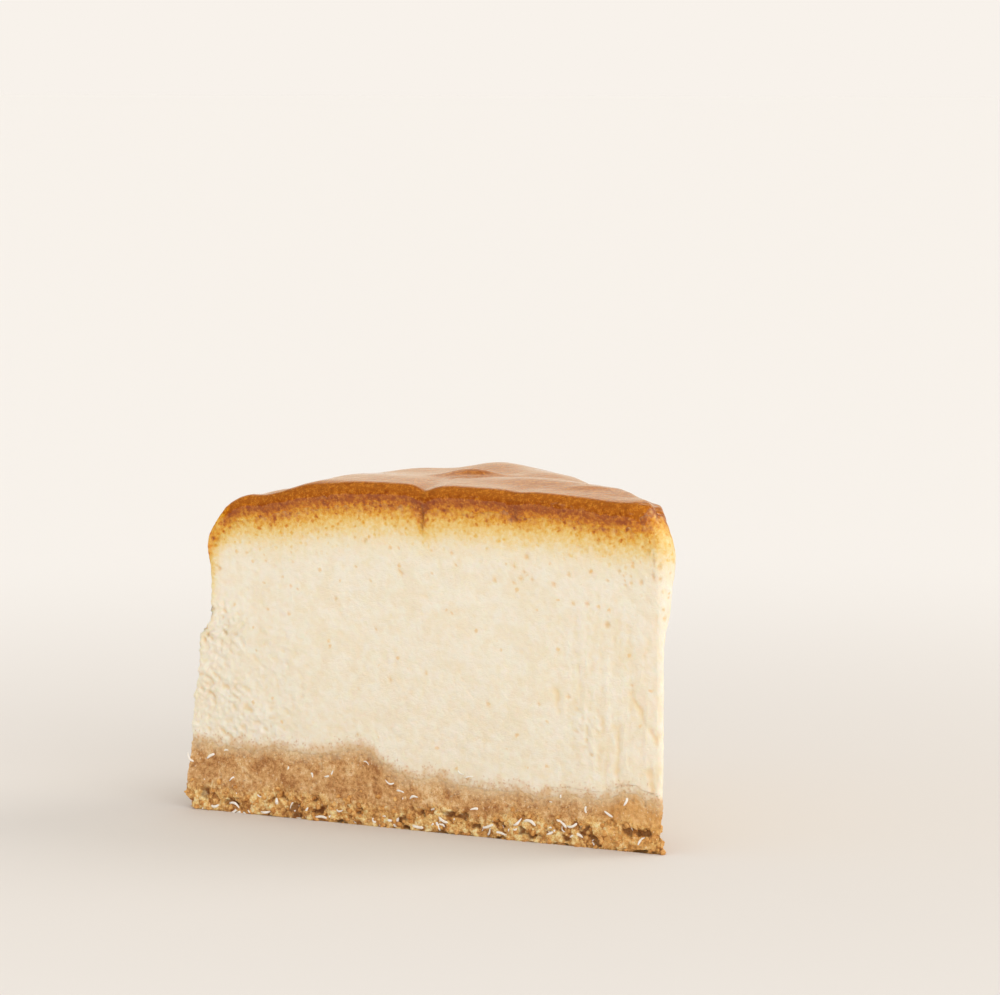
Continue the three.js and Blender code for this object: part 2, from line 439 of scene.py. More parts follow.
def spaced(shares):
    """Crowds cells towards the point and the wall, and more so towards both cuts."""
    across = (1 - np.cos(math.pi * shares[:, 1])) / 2
    crowded = (1 - np.cos(math.pi * shares[:, 0])) / 2
    return mix(shares[:, 0], crowded, END_CROWDING), across, shares[:, 2]


# ---- Making objects ----

MIDDLE = np.array([CAD_BOX[0][0] + WIDEST * MM, CAD_BOX[0][1], CAD_BOX[0][2]])


def place_in_frame(points):
    return points * MM + MIDDLE


def new_mesh(name, points, faces):
    mesh = bpy.data.meshes.new(name)
    mesh.from_pydata(points.tolist(), [], faces)
    mesh.update()
    mesh.shade_smooth()
    return mesh


def add_to_scene(made):
    bpy.context.scene.collection.objects.link(made)
    return made


def new_object(name, points, faces):
    mesh = new_mesh(name, place_in_frame(points), faces)
    return add_to_scene(bpy.data.objects.new(name, mesh))


def set_finish(piece, material):
    piece.data.materials.clear()
    piece.data.materials.append(material)


def corner_values(mesh, name):
    """The position or the normal of every corner of a mesh."""
    found = np.empty(len(mesh.vertices) * 3, np.float32)
    mesh.vertices.foreach_get(name, found)
    return found.reshape(-1, 3)


def normals_of(points, faces):
    """The outward normal at every corner of a mesh."""
    mesh = new_mesh("measure", points, faces)
    found = corner_values(mesh, "normal").astype(float)
    bpy.data.meshes.remove(mesh)
    return found


def on_rim(out, across):
    """Which corners of a layer lie on its upright sides."""
    return (out < 1e-4) | (out > 0.9999) | (across < 1e-4) | (across > 0.9999)


def made_level(normals, chosen):
    """The normals, with the chosen ones turned level."""
    level = normals.copy()
    level[chosen, 2] = 0
    level[chosen] /= np.linalg.norm(level[chosen], axis=1, keepdims=True)
    return level


def store(made, **values):
    """Keeps one number for every corner of a piece, for its material to read."""
    for name, value in values.items():
        attribute = made.data.attributes.new(name, "FLOAT", "POINT")
        attribute.data.foreach_set("value", np.asarray(value, np.float32))


# ---- The filling ----

# Pores that show on the front cut: along, height, radius, depth.
FRONT_PORES = (
    (32, 60, 0.7, 0.3),
    (35, 54.5, 0.5, 0.25),
    (39.5, 54.7, 0.6, 0.25),
    (25.5, 54.7, 0.6, 0.25),
    (22, 57, 0.5, 0.25),
    (21, 51, 0.5, 0.25),
    (13, 47, 0.8, 0.35),
    (41, 28.5, 0.6, 0.25),
    (56, 34, 0.4, 0.15),
    (90, 44.5, 0.5, 0.2),
    (95, 63, 0.6, 0.3),
)
SCATTERED_PORES = 170
PORE_CROWD = (61, 6.5, 0.05)  # height that they crowd round, spread, and how many elsewhere
PORE_RADIUS = (0.25, 0.6)
PORE_DEPTH = 0.45  # as a share of the radius
PORE_STAIN = (1.6, 1.4)  # the stain in a pore reaches a little past its edge
SLICE_SEED = 11
# Scrapes left by the knife on the front cut: along and height of each end, half width, depth.
SCRAPES = (
    (7.5, 33, 1.5, 23.5, 0.9, 0.35),
    (19.5, 38, 18, 20, 0.6, 0.2),
    (14, 27, 13.5, 13, 0.8, 0.25),
    (10.5, 26, 10.5, 15, 0.7, 0.25),
    (25, 33, 24.5, 28, 0.6, 0.25),
    (3.5, 17, 3, 13, 1.0, 0.3),
)
SCRAPE_STRENGTH = 0.75
# Where the cuts tore into curds: distance from the middle, height, half length, half height,
# strength.
CURDS = (
    (109, 40, 9, 7, 1.0),
    (108, 27, 9, 6, 1.0),
    (102, 20, 14, 6, 0.8),
    (93, 30, 8, 14, 0.35),
    (18, 25, 3.5, 6, 0.7),
    (60, 21, 30, 4, 0.15),
)
CURD_LIFT = (1.05, 0.34)  # of all the curds, and of the ridges and lumps that make them up
CURD_SLANT = np.array([[1, 0, 0.35], [0, 1, 0], [0.45, 0.45, 1]])
UPRIGHT = (0.3, 0.8)
RELIEF_ON_TOP = 0.45
HOLLOW_SHADE_DEPTH = 0.3  # the painted shade in the cream's recesses is full at this depth
CREAM_SWELLS = ((0.2, 17), (0.1, 6), (0.05, 2.6))
CREAM_GRAIN = (0.07, 0.9)
CREAM_LUMPS = (0.09, 1.3, 2)
CURD_RIDGES = (2.4, 2.2, 3, (1.3, 1.3, 0.8))
SCRAPE_WANDER = (0.7, 4, 2)
SCRAPE_UNEVEN = (1.2, 2.5)
STREAKS = (0.16, 1.9, 2, (1, 1, 8))
STREAKS_BEGIN = (12, 18)
STREAKS_END = (40, 58)
NEAR_POINT = (18, 30)
WALL_SWELLS = ((0.3, 5, 2), (0.12, 1.6))
WALL_RAGGED = (0.8, 0.05, 0.5)
WALL_SMOOTHER = (40, 47)
TORN_JOINT = ((0.7, 2.6), (0.4, 1.0))
CRACK_WANDER = (0.25, 2.0)
STAIN_NARROWS = (0.4, 3, 10)
# How much deeper, in millimetres, the browning sees the cream: amount, and where it begins and
# ends as a radius, or as a distance from the point.
PALER_NEAR_WALL = (0.22, 92, 106)
PALER_AT_RIM = (6.4, 100.5, 108)
PALER_AT_POINT = (11, -2, 8.5)
WALL_SKIN = 8.6  # the wall is only baked as much as the cream at this depth is
WALL_PALER_DOWN = (0.3, 40)  # and less for each millimetre farther down, as far as the second
WALL_PATCHES = (1.6, 7)


def scattered_pores(points, normals):
    """Pores at random over both cuts, most of them just under the browned skin."""
    random = np.random.default_rng(SLICE_SEED)
    on_cuts = np.flatnonzero(np.abs(normals[:, 2]) < UPRIGHT[0])
    middle, spread, elsewhere = PORE_CROWD
    chance = elsewhere + np.exp(-(((points[on_cuts, 2] - middle) / spread) ** 2))
    chosen = random.choice(on_cuts, SCATTERED_PORES, replace=False, p=chance / chance.sum())
    radius = random.uniform(*PORE_RADIUS, SCATTERED_PORES)
    return [(*points[i], size, size * PORE_DEPTH) for i, size in zip(chosen, radius)]


def pore_hollows(points, pores):
    """How deep each corner lies in a pore, and how much it is inside one, from 0 to 1."""
    depth = np.zeros(len(points))
    inside = np.zeros(len(points))
    full, fall = PORE_STAIN
    for x, y, z, radius, deep in pores:
        near = np.flatnonzero(np.abs(points - (x, y, z)).max(1) < radius * 2)
        share = np.linalg.norm(points[near] - (x, y, z), axis=1) / radius
        cup = np.clip(1 - share**2, 0, 1)
        depth[near] = np.maximum(depth[near], deep * cup)
        inside[near] = np.maximum(inside[near], np.clip(full - fall * share, 0, 1))
    return depth, inside


def distance_to_line(points, ends):
    """Distance in the plane of the front cut from a line between two ends."""
    along_1, height_1, along_2, height_2 = ends
    start = np.array([along_1, height_1])
    step = np.array([along_2, height_2]) - start
    here = np.stack([-points[:, 0], points[:, 2]], -1) - start
    share = np.clip(here @ step / (step @ step), 0, 1)
    return np.linalg.norm(here - share[:, None] * step, axis=1)


def near_crack(points, below, widening=1.0):
    """How close each corner is to a crack in the front lip, from 0 to 1, and the depth of the
    crack there."""
    closeness = np.zeros(len(points))
    depth = np.zeros(len(points))
    front = np.exp(-((points[:, 1] / CRACK_FRONT) ** 2))
    for along, width, length, deep in CRACKS:
        wander = uneven(points * (0, 0, 1) + (along, 0, 0), CRACK_WANDER)
        across = np.exp(-(((-points[:, 0] - along - wander) / (width * widening)) ** 2))
        opened = smooth(*CRACK_OPENS, below)
        here = across * front * opened * (1 - smooth(length - CRACK_CLOSES, length, below))
        closeness = np.maximum(closeness, here)
        depth = np.maximum(depth, deep * here)
    return closeness, depth


def crack_stain(points, below):
    """How much browner the filling is round the cracks, in millimetres of depth."""
    half_width, browner, front = CRACK_STAIN
    stain = np.zeros(len(points))
    front = np.exp(-((points[:, 1] / front) ** 2))
    for along, width, length, _ in CRACKS:
        wide = half_width * width / CRACKS[0][1] * (1 - rise(below, *STAIN_NARROWS))
        across = np.exp(-(((-points[:, 0] - along) / wide) ** 2))
        stain += browner * across * front * (1 - smooth(length - 1, length + 3, below))
    return stain


def from_point(points):
    """Distance from the point of the slice along its middle."""
    half = SLICE_ANGLE / 2
    return points[:, 1] * math.sin(half) - points[:, 0] * math.cos(half)


def skin_depth(points, out, across):
    """Depth under the baked skin in millimetres, as the browning sees it: paler over the
    rounded shoulder and round the point, and only lightly baked down the wall."""
    radius = np.hypot(points[:, 0], points[:, 1])
    below = np.maximum(crown_height(out, across, 0) - points[:, 2], 0)
    below = below * (1 + rise(radius, *PALER_NEAR_WALL))
    at_rim = rise(radius, *PALER_AT_RIM)
    at_point = PALER_AT_POINT[0] - rise(from_point(points), *PALER_AT_POINT)
    paler, farthest = WALL_PALER_DOWN
    lower_down = np.clip(WALL[-1, 0] - 0.2 - points[:, 2], 0, farthest)
    wall = WALL_SKIN + paler * lower_down + uneven(points, WALL_PATCHES)
    depth = np.maximum(below, np.maximum(at_point, at_rim)) - crack_stain(points, below)
    return np.maximum(mix(depth, np.minimum(depth, wall), smooth(0.975, 1, out)), 0)


def filling_shape():
    shares, faces = block(FILLING_CELLS, coarse=[(2, False)])
    out, across, up = spaced(shares)
    line = layer_height(out, across)
    height = mix(line - INTERLOCK, top_height(out, across) - GLAZE_THICKNESS, up)
    x, y = plan_point(out, across, height)
    return np.stack([x, y, height], -1), faces, out, across, height - line


def torn_curds(points, lumps):
    """Slanting ridges and lumps where the cuts tore."""
    radius = np.hypot(points[:, 0], points[:, 1])
    curd = np.zeros(len(points))
    for middle, level, long, high, strength in CURDS:
        spread = ((radius - middle) / long) ** 2 + ((points[:, 2] - level) / high) ** 2
        curd = np.maximum(curd, strength * np.exp(-(spread**2)))
    ridged = 1 - np.abs(uneven(points @ CURD_SLANT, CURD_RIDGES))
    all_of_them, each = CURD_LIFT
    return all_of_them * (curd * (each * ridged + each * lumps))


def scrape_marks(points):
    """Wandering grooves that the knife left in the front cut."""
    shaken = points + uneven(points, SCRAPE_WANDER)[:, None]
    scraped = sum(
        deep * np.exp(-((distance_to_line(shaken, ends) / wide) ** 2)) * (points[:, 1] < 2)
        for *ends, wide, deep in SCRAPES
    )
    return SCRAPE_STRENGTH * scraped * (1 + uneven(points, SCRAPE_UNEVEN))


def streak_marks(points):
    """Upright streaks where the knife smeared the cream near the point."""
    height = points[:, 2]
    near_point = 1 - smooth(*NEAR_POINT, np.hypot(points[:, 0], points[:, 1]))
    streak = near_point * smooth(*STREAKS_BEGIN, height) * (1 - smooth(*STREAKS_END, height))
    return streak * uneven(points, STREAKS)


def wall_relief(points, on_wall):
    """The baked wall, more ragged lower down, where it stuck to the tin."""
    ragged = rise(rough(points, 4), *WALL_RAGGED) * (1 - smooth(*WALL_SMOOTHER, points[:, 2]))
    return on_wall * (uneven(points, *WALL_SWELLS) + ragged)


def filling_relief(points, normals, out, across, above_line):
    """How far each corner of the filling stands out, how much it is in a pore, and how deep it
    lies in a recess of the cream, which sets the painted shade there, both from 0 to 1."""
    below = np.maximum(crown_height(out, across) - points[:, 2], 0)
    upright = 1 - smooth(*UPRIGHT, np.abs(normals[:, 2]))
    amount, *pattern = CREAM_LUMPS
    lumps = rough(points, *pattern)
    fine = torn_curds(points, lumps) + streak_marks(points) - scrape_marks(points)
    fine = fine + amount * lumps + uneven(points, CREAM_GRAIN)

    placed = [(-along, 0.0, *pore) for along, *pore in FRONT_PORES]
    pit, inside = pore_hollows(points, placed + scattered_pores(points, normals))
    _, cracked = near_crack(points, below)
    torn = above_line - uneven(points, *TORN_JOINT)
    tuck = EDGE_TUCK * (1 - smooth(-INTERLOCK, 0.2, torn))
    baked = wall_relief(points, smooth(0.985, 1, out) * upright)
    broad = uneven(points, *CREAM_SWELLS)
    relief = broad + fine + baked - pit - cracked - tuck
    return relief * mix(RELIEF_ON_TOP, 1, upright), inside, np.clip(-fine / HOLLOW_SHADE_DEPTH, 0, 1)


def glaze_margins(points, out, across):
    """How far inside the glaze's lower edge each corner is, how far inside its other edges,
    and its depth below the crown."""
    radius = np.hypot(points[:, 0], points[:, 1])
    below = np.maximum(crown_height(out, across) - points[:, 2] - GLAZE_THICKNESS, 0)
    ragged = uneven(points * (1, 1, 0), GLAZE_SWAYS) + uneven(points, GLAZE_RAGGED)
    cracked, _ = near_crack(points, below, GLAZE_CRACK_WIDER)
    hang = GLAZE_HANG + ragged + GLAZE_CRACK_HANG * cracked
    from_wall = GLAZE_RADIUS + 2 * ragged - radius
    ends = np.minimum(from_wall, from_point(points) - GLAZE_FROM_POINT + ragged)
    return hang - below, ends, below


def make_filling():
    points, faces, out, across, above_line = filling_shape()
    lower_edge = on_rim(out, across) & (above_line < 0.01 - INTERLOCK)
    normals = made_level(normals_of(points, faces), lower_edge)
    relief, pore, hollow = filling_relief(points, normals, out, across, above_line)
    shaped = points + normals * relief[:, None]
    depth = skin_depth(points, out, across)
    filling = new_object("cream_filling", shaped, faces)
    crack, _ = near_crack(points, crown_height(out, across) - points[:, 2])
    # How deep each corner lies in a recess is kept for painting shade into the recesses.
    values = {"skin_depth": depth, "above_base": above_line, "pore": pore, "hollow": hollow}
    store(filling, **values, crack=crack)
    return filling, shaped, faces, out, across, depth


# ---- The glaze ----


def boundary_edges(faces):
    """Edges that only one face has, each in that face's direction."""
    edges = {(a, b) for face in faces for a, b in zip(face, face[1:] + face[:1])}
    return [(a, b) for a, b in edges if (b, a) not in edges]


def make_glaze(points, faces, out, across, depth):
    """A closed shell over the top of the filling that hangs over both cuts. Past its edge it
    dips under the filling's surface, so that it ends in a smooth rounded line."""
    hang, ends, below = glaze_margins(points, out, across)
    covered = np.minimum(hang, ends) > -GLAZE_SKIRT
    kept = [face for face in faces if len(face) == 4 and all(covered[corner] for corner in face)]
    used = np.unique(np.array(kept))
    new_number = np.full(len(points), -1)
    new_number[used] = np.arange(len(used))
    outer = [[int(new_number[corner]) for corner in face] for face in kept]

    normals = normals_of(points, faces)[used]
    points, below, hang, ends = points[used], below[used], hang[used], ends[used]
    on_cut = smooth(*GLAZE_ON_CUT, below)
    bead = at_height(GLAZE_BEAD, below + uneven(points * (1, 1, 0), BEAD_SWAYS), 1)
    full = mix(GLAZE_THICKNESS, bead, on_cut)
    thickness = smooth(*GLAZE_THINS, hang) * smooth(0, GLAZE_END, ends) * full
    outside = 1 - smooth(*GLAZE_DIPS, np.minimum(hang, ends))
    thickness = mix(np.maximum(thickness, GLAZE_THINNEST), -GLAZE_TUCK, outside)
    shell = points + normals * thickness[:, None]
    lining = points - normals * (2 * GLAZE_TUCK)

    count = len(used)
    walls = [[b, a, a + count, b + count] for a, b in boundary_edges(outer)]
    inner = [[corner + count for corner in reversed(face)] for face in outer]
    glaze = new_object("caramel_glaze", np.concatenate([shell, lining]), outer + inner + walls)
    values = {
        "margin": hang,
        "full": smooth(0, GLAZE_END, ends),
        "on_cut": on_cut,
        "skin_depth": depth[used],
        "crack": near_crack(points, below)[0],
    }
    store(glaze, **{name: np.tile(value, 2) for name, value in values.items()})
    return glaze


# ---- The crumb base ----

LOOSE_HEIGHT = 5.4  # the lower part is loose crumbs, and the rest was pressed by the knife
# Crumbs: size, how far each one swells and by how much they stand at different depths.
BIG_CRUMBS = (1.7, 0.6, 0.9)
SMALL_CRUMBS = (0.8, 0.4, 0.3)
BIG_CRUMB_LEVELS = (0.42, 0.2)  # a big crumb stands above the first, by at most the second
SMALL_SHARES = (0.3, 0.8)  # how strong the small crumbs are where pressed, and where loose
# Cavity depths are clipped to this range before they set the painted shade in the cavities.
HOLLOW_SHADE_RANGE = (-1, 1.5)
BASE_HOLES = (0.4, 0.35, 0.6)
BASE_CAVITIES = (1.1, 0.16, 0.55)
CAVITY_SHAPE = (2.6, 3, (1.5, 1.5, 0.9))
BASE_GRAIN = (0.1, 0.6, 2)
BASE_SWELLS = (0.25, 9)
LOOSE_LINE = ((2.2, 9), (1.2, 2.5))
OWN_TONE = 0.6  # how much a big crumb's own tone hides the small ones'
BOTTOM_CRUMBS = 0.6  # how far the bottom edge is lifted between crumbs
GOLDEN_UP_TO = (6, 20)


def crumb_relief(points, loose):
    """How far the crumbs of the base stand out, and the tone of the crumb at each corner."""
    size, swell, stagger = BIG_CRUMBS
    near, own = crumbs_at(points, size)
    level, highest = BIG_CRUMB_LEVELS
    big = swell * (0.5 - near) + stagger * np.minimum(own - level, highest)
    size, swell, stagger = SMALL_CRUMBS
    near, own_small = crumbs_at(points, size)
    small = swell * (0.5 - near) + stagger * (own_small - 0.5)
    holes = -rise(rough(points, 1.5), *BASE_HOLES)
    cavities = -rise(rough(points, *CAVITY_SHAPE), *BASE_CAVITIES)
    pressed_small, loose_small = SMALL_SHARES
    relief = mix(pressed_small * small + holes, big + loose_small * small + cavities, loose)
    return relief + uneven(points, BASE_GRAIN), mix(own_small, own, loose * OWN_TONE)


def make_crumb_base():
    shares, faces = block(CRUST_CELLS, coarse=[(2, False), (2, True)])
    out, across, up = spaced(shares)
    top = layer_height(out, across) + INTERLOCK
    height = mix(0, top, up)
    x, y = plan_point(out, across, height)
    points = np.stack([x, y, height], -1)
    normals = normals_of(points, faces)

    broad, fine = LOOSE_LINE
    line = LOOSE_HEIGHT + uneven(points * (1, 1, 0), broad) + uneven(points, fine)
    loose = 1 - smooth(-1.5, 1.5, height - line)
    relief, tone = crumb_relief(points, loose)
    # How deep each corner lies in a cavity is kept for painting shade into the cavities.
    hollow = np.clip(-relief, *HOLLOW_SHADE_RANGE)
    relief = relief + uneven(points, BASE_SWELLS)

    # Nothing moves on the base's own two flat sides, and crumbs round off the bottom edge.
    on_side = on_rim(out, across)
    above_line = height - top + INTERLOCK
    tuck = 2 * EDGE_TUCK * smooth(-0.2, INTERLOCK, above_line)
    outward = made_level(normals, on_side)
    shaped = points + outward * ((relief - tuck) * on_side)[:, None]
    lift = BOTTOM_CRUMBS * (1 - smooth(0, 0.8, height)) * smooth(-0.2, 0.5, rough(points, 2.4))
    shaped[:, 2] = np.maximum(shaped[:, 2] + lift * on_side, 0)
    base = new_object("pressed_crumb_base", shaped, faces)
    golden = 1 - smooth(*GOLDEN_UP_TO, points[:, 1] - points[:, 0])
    values = {"loose": loose, "hollow": hollow, "tone": tone, "golden": golden}
    store(base, **values, below_filling=-above_line)
    return base


# ---- Shader building ----


def feed(tree, made, inputs):
    """Links each of a node's inputs that is given a socket, and sets the others."""
    for name, value in inputs.items():
        if isinstance(value, bpy.types.NodeSocket):
            tree.links.new(value, made.inputs[name])
        else:
            made.inputs[name].default_value = value


def add_node(tree, kind, inputs=None, **settings):
    made = tree.nodes.new(kind)
    for name, value in settings.items():
        setattr(made, name, value)
    feed(tree, made, inputs or {})
    return made


def calculate(tree, operation, *values):
    return add_node(tree, "ShaderNodeMath", dict(enumerate(values)), operation=operation).outputs[0]


def times(tree, product, *others):
    for other in others:
        product = calculate(tree, "MULTIPLY", product, other)
    return product


def ease(tree, value, low, high):
    """0 below low, 1 above high, and a smooth step between."""
    inputs = {"Value": value, "From Min": low, "From Max": high}
    made = add_node(tree, "ShaderNodeMapRange", inputs, interpolation_type="SMOOTHSTEP")
    return made.outputs["Result"]


def blend_colours(tree, share, first, second):
    inputs = {0: share, 6: first, 7: second}
    return add_node(tree, "ShaderNodeMix", inputs, data_type="RGBA").outputs[2]


def cover(tree, base, *layers):
    """Lays colours over a base one after another, each listed as mask, strength, colour."""
    for mask, strength, colour in layers:
        base = blend_colours(tree, times(tree, mask, strength), base, paint(colour))
    return base


def read(tree, name):
    return add_node(tree, "ShaderNodeAttribute", attribute_name=name).outputs["Fac"]


def colours_by(tree, value, stops):
    """A colour for each value, eased between (value, display colour) stops."""
    lowest = stops[0][0]
    widest = stops[-1][0] - lowest
    above = calculate(tree, "SUBTRACT", value, lowest)
    made = add_node(tree, "ShaderNodeValToRGB", {"Fac": calculate(tree, "DIVIDE", above, widest)})
    ramp = made.color_ramp
    while len(ramp.elements) < len(stops):
        ramp.elements.new(0.5)
    for element, (at, colour) in zip(ramp.elements, stops):
        element.position = (at - lowest) / widest
        element.color = paint(colour)
    return made.outputs["Color"]


def new_group(name, inputs, outputs):
    """An empty shader group with float inputs {name: default} and outputs {name: type}."""
    group = bpy.data.node_groups.new(name, "ShaderNodeTree")
    for label, default in inputs.items():
        socket = group.interface.new_socket(label, in_out="INPUT", socket_type="NodeSocketFloat")
        socket.default_value = default
    for label, kind in outputs.items():
        group.interface.new_socket(label, in_out="OUTPUT", socket_type=kind)
    return group, add_node(group, "NodeGroupInput").outputs, add_node(group, "NodeGroupOutput")


def millimetres(tree):
    """Object coordinates in millimetres."""
    coordinates = add_node(tree, "ShaderNodeTexCoord").outputs["Object"]
    inputs = {"Vector": coordinates, "Scale": [1 / MM] * 3}
    return add_node(tree, "ShaderNodeMapping", inputs).outputs[0]


def noise_node(tree, where, pitch, detail):
    inputs = {"Vector": where, "Scale": pitch, "Detail": detail}
    return add_node(tree, "ShaderNodeTexNoise", inputs).outputs


GRAIN_DETAIL = (2.0, 1.0)
GRAIN_FINER = 3.3  # the finer of the two noises is this many times as fine


def fine_grain_group():
    """Uneven grain: a value about 0.5, from two sizes of noise."""
    sizes = {"Size": 1.0, "Finer Share": 0.5}
    group, given, result = new_group("fine grain", sizes, {"Value": "NodeSocketFloat"})
    where = millimetres(group)
    pitch = calculate(group, "DIVIDE", 1.0, given["Size"])
    coarse = noise_node(group, where, pitch, GRAIN_DETAIL[0])["Fac"]
    finer = noise_node(group, where, times(group, pitch, GRAIN_FINER), GRAIN_DETAIL[1])["Fac"]
    both = add_node(group, "ShaderNodeMix", {0: given["Finer Share"], 2: coarse, 3: finer})
    feed(group, result, {"Value": both.outputs[0]})
    return group


SPECK_WOBBLE = (1.3, 2.0)  # pitch and detail of the noise that bends the cells of the specks
SPECK_BEND = 0.9
SPECK_EDGE = (1.6, 0.5)  # a speck fades between these shares of its size


def specks_group():
    """Small spots: a mask that is 1 in a spot. Amount is the share of cells that have one."""
    sizes = {"Spacing": 1.5, "Spot Size": 0.3, "Amount": 0.4}
    group, given, result = new_group("specks", sizes, {"Mask": "NodeSocketFloat"})
    where = millimetres(group)
    wobble = noise_node(group, where, *SPECK_WOBBLE)["Color"]
    inputs = {0: wobble, 1: (SPECK_BEND,) * 3, 2: where}
    bent = add_node(group, "ShaderNodeVectorMath", inputs, operation="MULTIPLY_ADD").outputs[0]
    pitch = calculate(group, "DIVIDE", 1.0, given["Spacing"])
    cells = add_node(group, "ShaderNodeTexVoronoi", {"Vector": bent, "Scale": pitch}).outputs
    own = add_node(group, "ShaderNodeSeparateColor", {"Color": cells["Color"]}).outputs["Red"]
    edges = [times(group, given["Spot Size"], share) for share in SPECK_EDGE]
    chosen = calculate(group, "LESS_THAN", own, given["Amount"])
    feed(group, result, {"Mask": times(group, ease(group, cells["Distance"], *edges), chosen)})
    return group


GRAIN = fine_grain_group()
SPECKS = specks_group()


def use_group(tree, group, **inputs):
    """Places a shader group, with spaces for the underscores in the names of its inputs."""
    named = {name.replace("_", " "): value for name, value in inputs.items()}
    return add_node(tree, "ShaderNodeGroup", named, node_tree=group).outputs


def grain(tree, size, finer=0.5):
    return use_group(tree, GRAIN, Size=size, Finer_Share=finer)["Value"]


def specks(tree, spacing, size, amount):
    return use_group(tree, SPECKS, Spacing=spacing, Spot_Size=size, Amount=amount)["Mask"]


def new_material(name):
    material = bpy.data.materials.new(name)
    material.use_nodes = True
    return material, material.node_tree, material.node_tree.nodes["Principled BSDF"]


def bump(tree, height, depth, normal=None):
    inputs = {"Height": height, "Distance": depth * MM}
    if normal is not None:
        inputs["Normal"] = normal
    return add_node(tree, "ShaderNodeBump", inputs).outputs["Normal"]


def vary(tree, value, pattern, amount):
    """value plus a pattern that is about 0.5, scaled to plus or minus half of amount."""
    centred = calculate(tree, "SUBTRACT", pattern, 0.5)
    return calculate(tree, "ADD", value, times(tree, centred, amount))


def more_where(tree, mask, more, least):
    """least, and up to this much more where the mask is 1."""
    return calculate(tree, "MULTIPLY_ADD", mask, more, least)


def light_inside(weight, depth, spread):
    """Inputs for light that enters the surface: its share, how deep it goes in millimetres, and
    how far each of its colours spreads."""
    return {
        "Subsurface Weight": weight,
        "Subsurface Radius": spread,
        "Subsurface Scale": depth * MM,
    }


# ---- Finishes ----


def baked_skin_group():
    """The colour of the baked filling by depth under its skin, in millimetres: mottled brown,
    then gold with darker specks, then cream."""
    outputs = {"Color": "NodeSocketColor", "Specks": "NodeSocketFloat"}
    group, given, result = new_group("baked skin", {"Depth": 0.0}, outputs)
    depth = calculate(group, "SUBTRACT", given["Depth"], LIP_DROP)
    mottled = vary(group, depth, grain(group, size=4.5, finer=0.35), amount=3.6)
    # The grain of the browning is coarse near the skin and dies out in the cream.
    fading = ease(group, depth, 18.0, 7.0)
    reach = times(group, fading, 9.0)
    mottled = vary(group, mottled, grain(group, size=0.9, finer=0.3), reach)
    spots = specks(group, spacing=1.3, size=0.3, amount=times(group, fading, 0.5))
    mottled = calculate(group, "SUBTRACT", mottled, times(group, spots, 2.0))
    # Dark blisters in a band where the glaze ends.
    band = times(group, ease(group, depth, 2.2, 3.4), ease(group, depth, 5.4, 4.0))
    blisters = specks(group, spacing=1.4, size=0.32, amount=times(group, band, 0.5))
    colour = cover(group, colours_by(group, mottled, BROWNING), (blisters, 0.4, BLISTER_BROWN))
    feed(group, result, {"Color": colour, "Specks": spots})
    return group


BAKED_SKIN = baked_skin_group()


def cream_finish():
    """Smooth cream that bakes to gold and brown towards the skin."""
    material, tree, shader = new_material("cream filling, browned at the top")
    depth = read(tree, "skin_depth")
    skin = use_group(tree, BAKED_SKIN, Depth=calculate(tree, "SUBTRACT", depth, BLED))
    raw = ease(tree, depth, 9.0, 16.0)
    patches = ease(tree, grain(tree, size=7.0), 0.4, 0.62)
    curds = ease(tree, grain(tree, size=1.6), 0.56, 0.68)
    fleck_amount = more_where(tree, ease(tree, depth, 24.0, 9.0), more=0.4, least=0.12)
    # Crumbs dragged up from the base by the knife.
    above = vary(tree, read(tree, "above_base"), grain(tree, size=2.6, finer=0.4), amount=7.0)
    dragged = times(tree, ease(tree, above, 4.0, 0.0), 0.8)
    colour = cover(
        tree,
        skin["Color"],
        (times(tree, patches, raw), 0.35, CREAM_PATCH),
        (times(tree, curds, raw), 0.35, CREAM_CURD),
        # Painted shade: yellower cream in the recesses of the relief.
        (read(tree, "hollow"), 0.75, HOLLOW_SHADE_CREAM),
        (specks(tree, spacing=2.4, size=0.17, amount=fleck_amount), 0.55, PORE_GOLD),
        (read(tree, "pore"), 0.6, PORE_GOLD),
        (read(tree, "crack"), 1.0, CRACK_BROWN),
        (ease(tree, above, 3.2, -0.8), 0.75, SMEAR_BROWN),
        (specks(tree, spacing=0.6, size=0.36, amount=dragged), 0.38, CRUMB_BROWN),
    )
    roughness = vary(tree, grain(tree, size=2.0), grain(tree, size=0.8), amount=0.3)
    wet = times(tree, ease(tree, depth, 12.0, 2.0), 0.16)
    surface = bump(tree, grain(tree, size=2.4, finer=0.4), depth=0.22)
    surface = bump(tree, grain(tree, size=0.7), depth=0.2, normal=surface)
    spots = calculate(tree, "SUBTRACT", 0.0, skin["Specks"])
    inputs = {
        "Base Color": colour,
        "Roughness": calculate(tree, "SUBTRACT", roughness, wet),
        "Normal": bump(tree, spots, depth=0.05, normal=surface),
    }
    feed(tree, shader, inputs | light_inside(weight=0.35, depth=2.4, spread=(1.0, 0.62, 0.34)))
    return material


